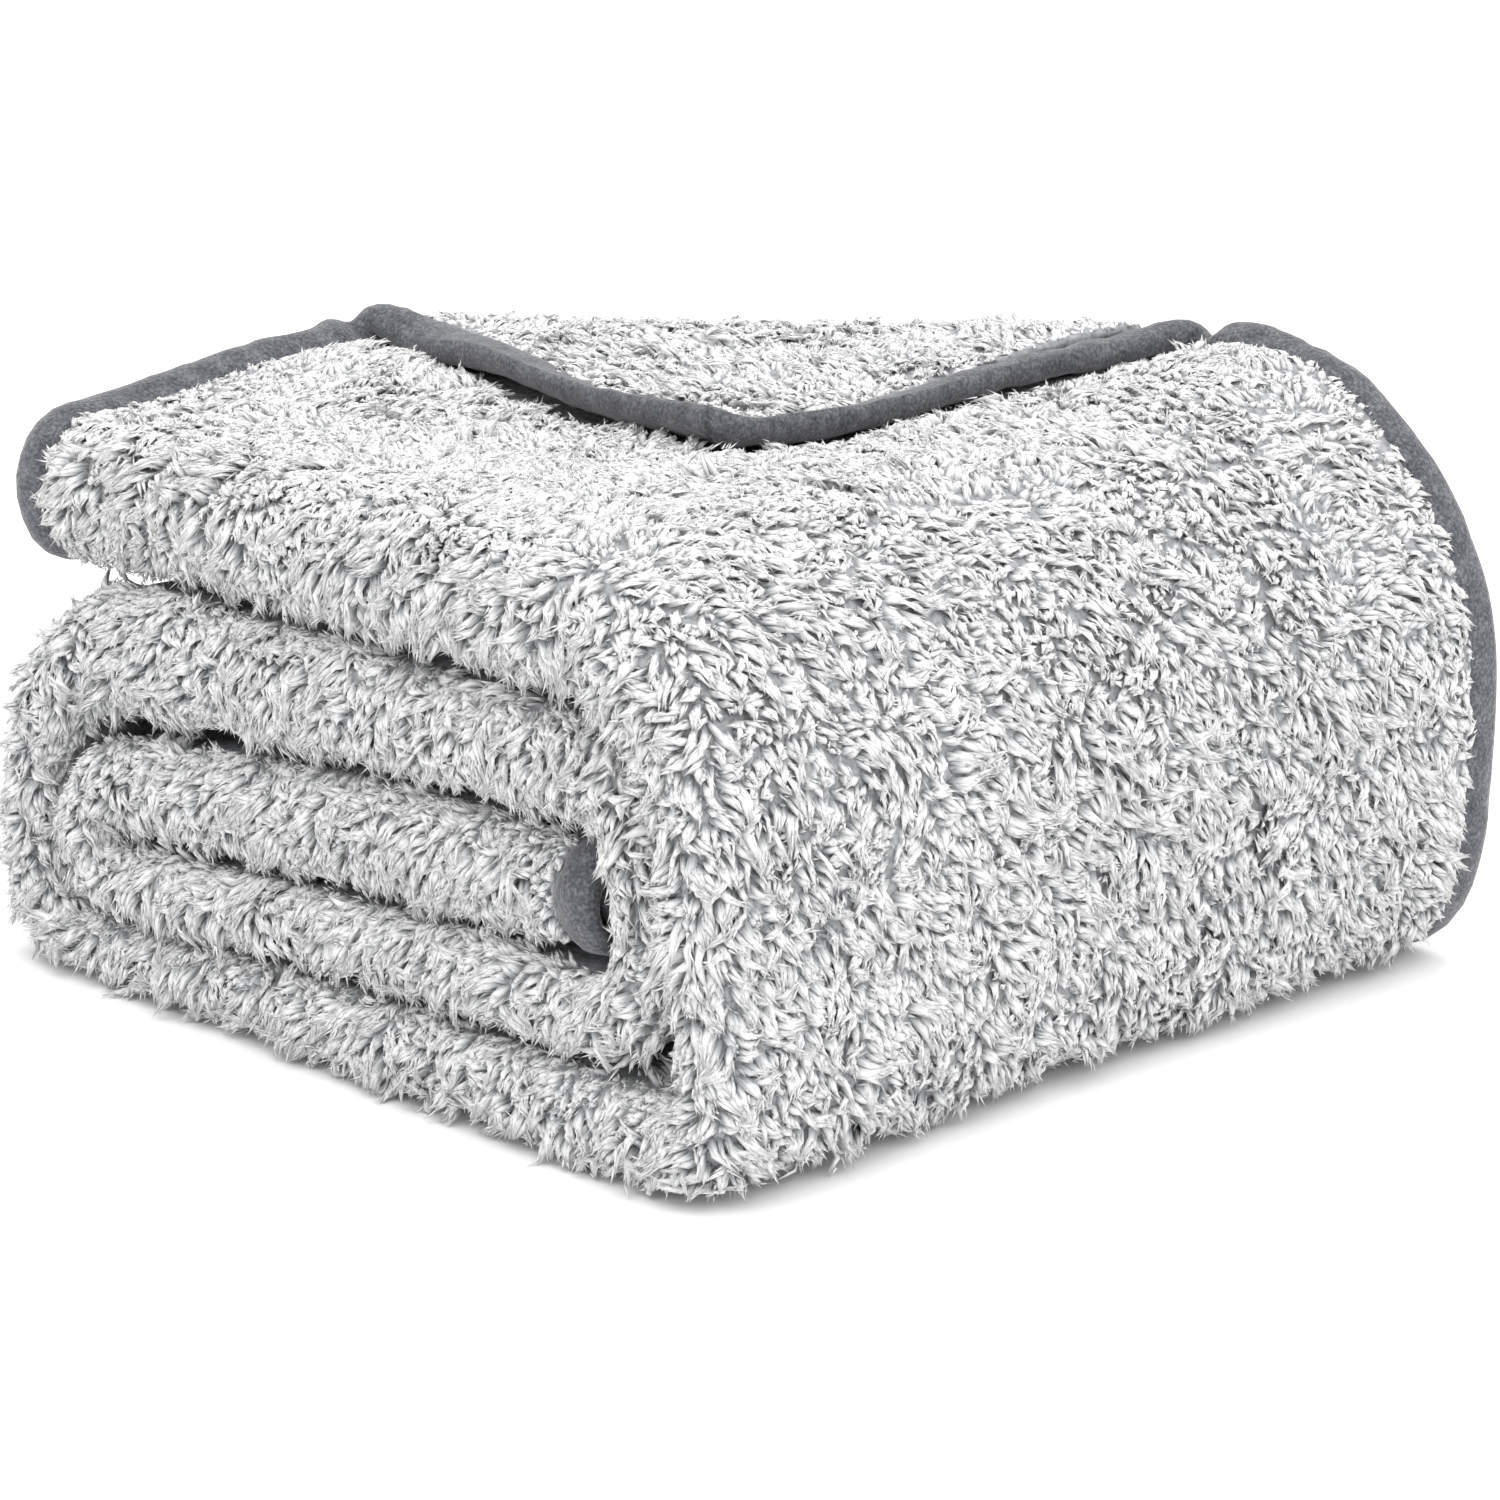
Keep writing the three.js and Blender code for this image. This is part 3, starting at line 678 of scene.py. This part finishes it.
def strands_mesh(name, pick, rings, wide):
    """Joined mesh of closed three-sided tapering strands for the chosen ones."""
    idx = [0, 4, 8] if rings == 2 else [0, 3, 6, 8]
    ln = line[pick][:, idx]
    m, k = ln.shape[0], ln.shape[1]
    t = TT[idx]
    along = unit(np.gradient(ln, axis=1))
    n = grow_n[pick][:, None, :]
    roll = rng.uniform(-0.6, 0.6, (m, 1, 1))
    side = unit(np.cross(along, n + 0.35 * comb[pick][:, None, :] * t[None, :, None]))
    top = np.cross(side, along)
    side, top = side * np.cos(roll) + top * np.sin(roll), top * np.cos(roll) - side * np.sin(roll)
    w = STRAND_W * wide * np.clip(1 + 0.16 * r_own[pick, 4], 0.6, 1.4) * np.where(loose[pick], 0.6, 1.0)
    form = np.interp(t, [0, 0.3, 0.5, 0.75, 1.0], [0.85, 1.0, 1.0, 0.78, 0.0])
    form[0] = 1.25  # broad at the foot, so that no ground shows where tufts part
    hw = (w[:, None] * form[None, :])[..., None]
    hh = hw * np.interp(t, [0, 0.5, 1.0], [0.95, 0.6, 0.5])[None, :, None]
    a, b, c = ln - side * hw - top * hh * 0.35, ln + side * hw - top * hh * 0.35, ln + top * hh
    body = np.stack([a[:, :-1], b[:, :-1], c[:, :-1]], 2).reshape(m, 3 * (k - 1), 3)
    verts = np.concatenate([body, ln[:, -1:, :]], 1)
    z = verts[..., 2]
    verts[..., 2] = np.where(z < 1.2, 0.35 + 0.85 * np.clip(np.exp((z - 1.2) / 1.5), 0, 1), z)
    per = verts.shape[1]
    tri = []
    for r in range(k - 2):
        for j in range(3):
            p0, p1 = 3 * r + j, 3 * r + (j + 1) % 3
            tri += [(p0, p1, p1 + 3), (p0, p1 + 3, p0 + 3)]
    last = 3 * (k - 2)
    for j in range(3):
        tri.append((last + j, last + (j + 1) % 3, per - 1))
    tri.append((0, 2, 1))
    tri = np.array(tri)
    faces = (tri[None] + (np.arange(m) * per)[:, None, None]).reshape(-1, 3)
    att = np.zeros((m, per, 4), np.float32)
    att[..., 0] = np.concatenate([np.repeat(t[:-1], 3), [1.0]])[None]
    att[..., 1] = np.concatenate([np.tile([0.0, 1.0, 0.5], k - 1), [0.5]])[None]
    att[..., 2] = rng.uniform(0, 1, m)[:, None]
    att[..., 3] = tone_and_painted_light[pick][:, None]
    if not np.array_equal(facing(verts[:1].reshape(-1, 3), tri), tri):
        faces = faces[:, ::-1]
    return mesh_object(name, verts.reshape(-1, 3), faces, True, att)


def hairs_mesh(name, pick, wide):
    """Joined mesh of fine straight hairs that leave the chosen strands along their upper side, closed and pointed."""
    m = len(pick)
    t0 = rng.uniform(0.1, 0.82, m)
    f = t0 * (FINE - 1)
    i = np.minimum(f.astype(int), FINE - 2)
    w = (f - i)[:, None]
    p = line[pick, i] * (1 - w) + line[pick, i + 1] * w
    d = unit(0.5 * unit(line[pick, i + 1] - line[pick, i]) + 0.5 * unit(line[pick, -1] - line[pick, -3]) + 1e-6)
    n = grow_n[pick]
    side = unit(np.cross(d, n))
    top = np.cross(side, d)
    body = STRAND_W * wide * np.interp(t0, [0, 0.3, 0.6, 1.0], [0.85, 1.0, 0.9, 0.3])[:, None]
    p = p + top * body * rng.uniform(0.1, 0.62, (m, 1)) + side * body * rng.uniform(-0.95, 0.95, (m, 1))
    under = rng.uniform(0, 1, m) < 0.2  # a shorter undercoat stands between the strands
    # The undercoat takes the grey of the roots from the ramp: painted shade deep in the pile.
    t0 = np.where(under, 0.05, t0)
    p = np.where(under[:, None], foot[pick] - n * 0.2 + np.cross(n, rng.normal(0, 1.1, (m, 3))), p)
    d = unit(np.where(under[:, None], n + 0.5 * comb[pick] + rng.normal(0, 0.45, (m, 3)), d + rng.normal(0, 0.2, (m, 3)) + 0.14 * top))
    side = unit(np.cross(d, n))
    top = np.cross(side, d)
    long = (HAIR_L * (length[pick] / PILE_L) * rng.uniform(0.6, 1.25, m))[:, None]
    hw = (HAIR_W * (0.6 + 0.4 * wide) * rng.uniform(0.7, 1.3, m) * np.where(under, 1.8, 1.0))[:, None]
    verts = np.stack([p - side * hw - top * hw * 0.4, p + side * hw - top * hw * 0.4, p + top * hw * 0.8, p + d * long], 1)
    z = verts[..., 2]
    verts[..., 2] = np.where(z < 1.2, 0.35 + 0.85 * np.clip(np.exp((z - 1.2) / 1.5), 0, 1), z)
    tri = np.array([(0, 1, 3), (1, 2, 3), (2, 0, 3), (0, 2, 1)])
    faces = (tri[None] + (np.arange(m) * 4)[:, None, None]).reshape(-1, 3)
    att = np.zeros((m, 4, 4), np.float32)
    att[..., 0] = t0[:, None] + np.array([0, 0, 0, 0.42])[None]
    att[..., 1] = np.array([0.2, 0.8, 0.5, 0.5])[None]
    att[..., 2] = rng.uniform(0, 1, m)[:, None]
    att[..., 3] = tone_and_painted_light[pick][:, None]
    if not np.array_equal(facing(verts[:1].reshape(-1, 3), tri), tri):
        faces = faces[:, ::-1]
    return mesh_object(name, verts.reshape(-1, 3), faces, True, att)


pile = []
shown = np.nonzero(seen)[0]
rest = np.nonzero(~seen)[0]
for group, rings, wide, most in (
    (shown[np.argsort(s_[shown] + 4000 * (side_[shown] < 0))], 2, 1.0, 19000),
    (rest[np.argsort(s_[rest])], 2, 1.35, 19000),
):
    for part in np.array_split(group, max(1, -(-len(group) // most))):
        pile.append(strands_mesh(f"pile_{len(pile) + 1}", part, rings, wide))
for group, wide in ((np.repeat(shown, HAIRS), 1.0), (rest, 1.35)):
    group = group[np.argsort(s_[group])]
    for part in np.array_split(group, max(1, -(-len(group) // 48000))):
        pile.append(hairs_mesh(f"pile_{len(pile) + 1}", part, wide))
print("pile", [len(o.data.polygons) for o in pile], "t", round(time.time() - T_BEGIN, 1))

# ------------------------------------------------------------------ materials
def new_material(name):
    m = bpy.data.materials.new(name)
    m.use_nodes = True
    nt = m.node_tree
    nt.nodes.clear()
    out = nt.nodes.new("ShaderNodeOutputMaterial")
    bsdf = nt.nodes.new("ShaderNodeBsdfPrincipled")
    nt.links.new(bsdf.outputs[0], out.inputs["Surface"])
    return m, nt, bsdf


def ramp(nt, stops):
    r = nt.nodes.new("ShaderNodeValToRGB")
    el = r.color_ramp.elements
    while len(el) > 1:
        el.remove(el[-1])
    el[0].position, el[0].color = stops[0][0], (*stops[0][1], 1)
    for pos, col in stops[1:]:
        e = el.new(pos)
        e.color = (*col, 1)
    return r


def math_node(nt, op, a, b=None, c=None):
    n = nt.nodes.new("ShaderNodeMath")
    n.operation = op
    for i, v in enumerate((a, b, c)):
        if v is None:
            continue
        if isinstance(v, (int, float)):
            n.inputs[i].default_value = v
        else:
            nt.links.new(v, n.inputs[i])
    return n.outputs[0]


def pile_material():
    m, nt, bsdf = new_material("pile_painted_shade")
    att = nt.nodes.new("ShaderNodeAttribute")
    att.attribute_name = "lock"
    sep = nt.nodes.new("ShaderNodeSeparateColor")
    nt.links.new(att.outputs["Color"], sep.inputs[0])
    t, u, rnd, painted_light_and_tone = sep.outputs[0], sep.outputs[1], sep.outputs[2], att.outputs["Alpha"]
    # Fine fibres run along each lock.
    co = nt.nodes.new("ShaderNodeCombineXYZ")
    nt.links.new(math_node(nt, "MULTIPLY_ADD", u, 7.0, math_node(nt, "MULTIPLY", rnd, 90.0)), co.inputs[0])
    nt.links.new(math_node(nt, "MULTIPLY", t, 1.6), co.inputs[1])
    nt.links.new(math_node(nt, "MULTIPLY", painted_light_and_tone, 7.0), co.inputs[2])
    fib = nt.nodes.new("ShaderNodeTexNoise")
    fib.inputs["Scale"].default_value = 1.0
    fib.inputs["Detail"].default_value = 2.0
    nt.links.new(co.outputs[0], fib.inputs["Vector"])
    # Grey at the roots as painted shade deep in the pile, near white at the tips; where the change falls differs from
    # lock to lock.
    x = math_node(nt, "MULTIPLY_ADD", math_node(nt, "SUBTRACT", fib.outputs[0], 0.5), 0.55, t)
    # The tone attribute adds painted light on top and painted shade on the smooth folds, besides random tone by wave
    # and tuft.
    x = math_node(nt, "MULTIPLY_ADD", math_node(nt, "SUBTRACT", painted_light_and_tone, 0.5), 0.38, x)
    x = math_node(nt, "MULTIPLY_ADD", math_node(nt, "SUBTRACT", rnd, 0.5), 0.16, x)
    r = ramp(
        nt,
        [
            (0.0, (0.31, 0.32, 0.335)),
            (0.17, (0.47, 0.48, 0.49)),
            (0.36, (0.71, 0.713, 0.718)),
            (0.58, (0.78, 0.78, 0.78)),
            (1.0, (0.80, 0.798, 0.793)),
        ],
    )
    nt.links.new(x, r.inputs[0])
    nt.links.new(r.outputs[0], bsdf.inputs["Base Color"])
    bump = nt.nodes.new("ShaderNodeBump")
    bump.inputs["Strength"].default_value = 0.55
    bump.inputs["Distance"].default_value = 0.0006
    nt.links.new(fib.outputs[0], bump.inputs["Height"])
    nt.links.new(bump.outputs[0], bsdf.inputs["Normal"])
    bsdf.inputs["Roughness"].default_value = 0.85
    bsdf.inputs["Specular IOR Level"].default_value = 0.25
    bsdf.inputs["Sheen Weight"].default_value = 0.25
    bsdf.inputs["Sheen Roughness"].default_value = 0.5
    return m


def ground_material():
    m, nt, bsdf = new_material("pile_roots_painted_shade")
    tc = nt.nodes.new("ShaderNodeTexCoord")
    n = nt.nodes.new("ShaderNodeTexNoise")
    n.inputs["Scale"].default_value = 420.0
    n.inputs["Detail"].default_value = 3.0
    nt.links.new(tc.outputs["Object"], n.inputs["Vector"])
    # Mid grey: painted shade of the crevices where the ground shows between tufts.
    r = ramp(nt, [(0.3, (0.22, 0.225, 0.235)), (0.7, (0.41, 0.415, 0.43))])
    nt.links.new(n.outputs[0], r.inputs[0])
    nt.links.new(r.outputs[0], bsdf.inputs["Base Color"])
    bump = nt.nodes.new("ShaderNodeBump")
    bump.inputs["Strength"].default_value = 0.8
    bump.inputs["Distance"].default_value = 0.001
    nt.links.new(n.outputs[0], bump.inputs["Height"])
    nt.links.new(bump.outputs[0], bsdf.inputs["Normal"])
    bsdf.inputs["Roughness"].default_value = 0.95
    bsdf.inputs["Specular IOR Level"].default_value = 0.15
    return m


def tape_material():
    m, nt, bsdf = new_material("velour_tape")
    tc = nt.nodes.new("ShaderNodeTexCoord")
    nap = nt.nodes.new("ShaderNodeTexNoise")  # short nap
    nap.inputs["Scale"].default_value = 900.0
    nap.inputs["Detail"].default_value = 3.0
    nt.links.new(tc.outputs["Object"], nap.inputs["Vector"])
    brush = nt.nodes.new("ShaderNodeTexNoise")  # patches where the nap lies another way
    brush.inputs["Scale"].default_value = 150.0
    brush.inputs["Detail"].default_value = 3.0
    nt.links.new(tc.outputs["Object"], brush.inputs["Vector"])
    mix = math_node(nt, "ADD", math_node(nt, "MULTIPLY", nap.outputs[0], 0.66), math_node(nt, "MULTIPLY", brush.outputs[0], 0.34))
    r = ramp(nt, [(0.34, (0.042, 0.044, 0.053)), (0.5, (0.092, 0.095, 0.107)), (0.66, (0.185, 0.188, 0.203))])
    nt.links.new(mix, r.inputs[0])
    nt.links.new(r.outputs[0], bsdf.inputs["Base Color"])
    bump = nt.nodes.new("ShaderNodeBump")
    bump.inputs["Strength"].default_value = 0.6
    bump.inputs["Distance"].default_value = 0.0016
    nt.links.new(mix, bump.inputs["Height"])
    nt.links.new(bump.outputs[0], bsdf.inputs["Normal"])
    bsdf.inputs["Roughness"].default_value = 0.9
    bsdf.inputs["Specular IOR Level"].default_value = 0.2
    bsdf.inputs["Sheen Weight"].default_value = 0.35
    bsdf.inputs["Sheen Roughness"].default_value = 0.4
    return m


MAT_PILE, MAT_GROUND, MAT_TAPE = pile_material(), ground_material(), tape_material()
for o in pile:
    o.data.materials.append(MAT_PILE)
core.data.materials.append(MAT_GROUND)
for o in tapes:
    o.data.materials.append(MAT_TAPE)

# ------------------------------------------------------------------ into the frame
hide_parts("fleece_cloth")
for o, node in zip(tapes, TAPE_NAMES):
    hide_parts(node)
    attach(o, "root")
for o in [core, *pile]:
    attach(o, "root")


# ------------------------------------------------------------------ studio
def plane(name, size_m):
    ob = mesh_object(
        name,
        np.array([[-1, -1, 0], [1, -1, 0], [1, 1, 0], [-1, 1, 0]]) * size_m * 500.0,
        [[0, 1, 2, 3]],
        False,
    )
    return ob


floor = plane("floor", 30.0)
m, nt, bsdf = new_material("pale_floor")
bsdf.inputs["Base Color"].default_value = (0.95, 0.95, 0.95, 1)
bsdf.inputs["Roughness"].default_value = 0.9
floor.data.materials.append(m)

sc = bpy.context.scene
world = bpy.data.worlds.new("studio")
sc.world = world
world.use_nodes = True
world.node_tree.nodes["Background"].inputs[0].default_value = (1.0, 1.0, 1.0, 1)
world.node_tree.nodes["Background"].inputs[1].default_value = 1.15


def sun(name, towards, angle, strength):
    """Even light from a wide patch of sky, coming from the given direction."""
    light = bpy.data.lights.new(name, "SUN")
    light.angle = math.radians(angle)
    light.energy = strength
    ob = bpy.data.objects.new(name, light)
    ob.rotation_euler = Vector(towards).to_track_quat("Z", "Y").to_euler()
    sc.collection.objects.link(ob)
    return ob


sun("softbox_above", (0.42, -0.12, 1.0), 95, 1.95)

cam_data = bpy.data.cameras.new("camera")
cam_data.lens = CAM_LENS
cam_data.sensor_width = 36.0
cam_data.clip_end = 60.0
cam_data.dof.use_dof = False
cam = bpy.data.objects.new("camera", cam_data)
cam.location = tuple(CAM * 0.001)
cam.rotation_euler = (math.radians(90 - CAM_PITCH), 0, math.radians(CAM_AZ))
sc.collection.objects.link(cam)
sc.camera = cam
sc.view_settings.view_transform = "Standard"
sc.view_settings.look = "None"
sc.view_settings.exposure = 0.0
sc.view_settings.gamma = 1.0

print("core", len(core.data.polygons) * 2, "tapes", [len(o.data.polygons) for o in tapes])
print("tris", sum(len(p.vertices) - 2 for o in [core, *pile, *tapes] for p in o.data.polygons), "t", round(time.time() - T_BEGIN, 1))
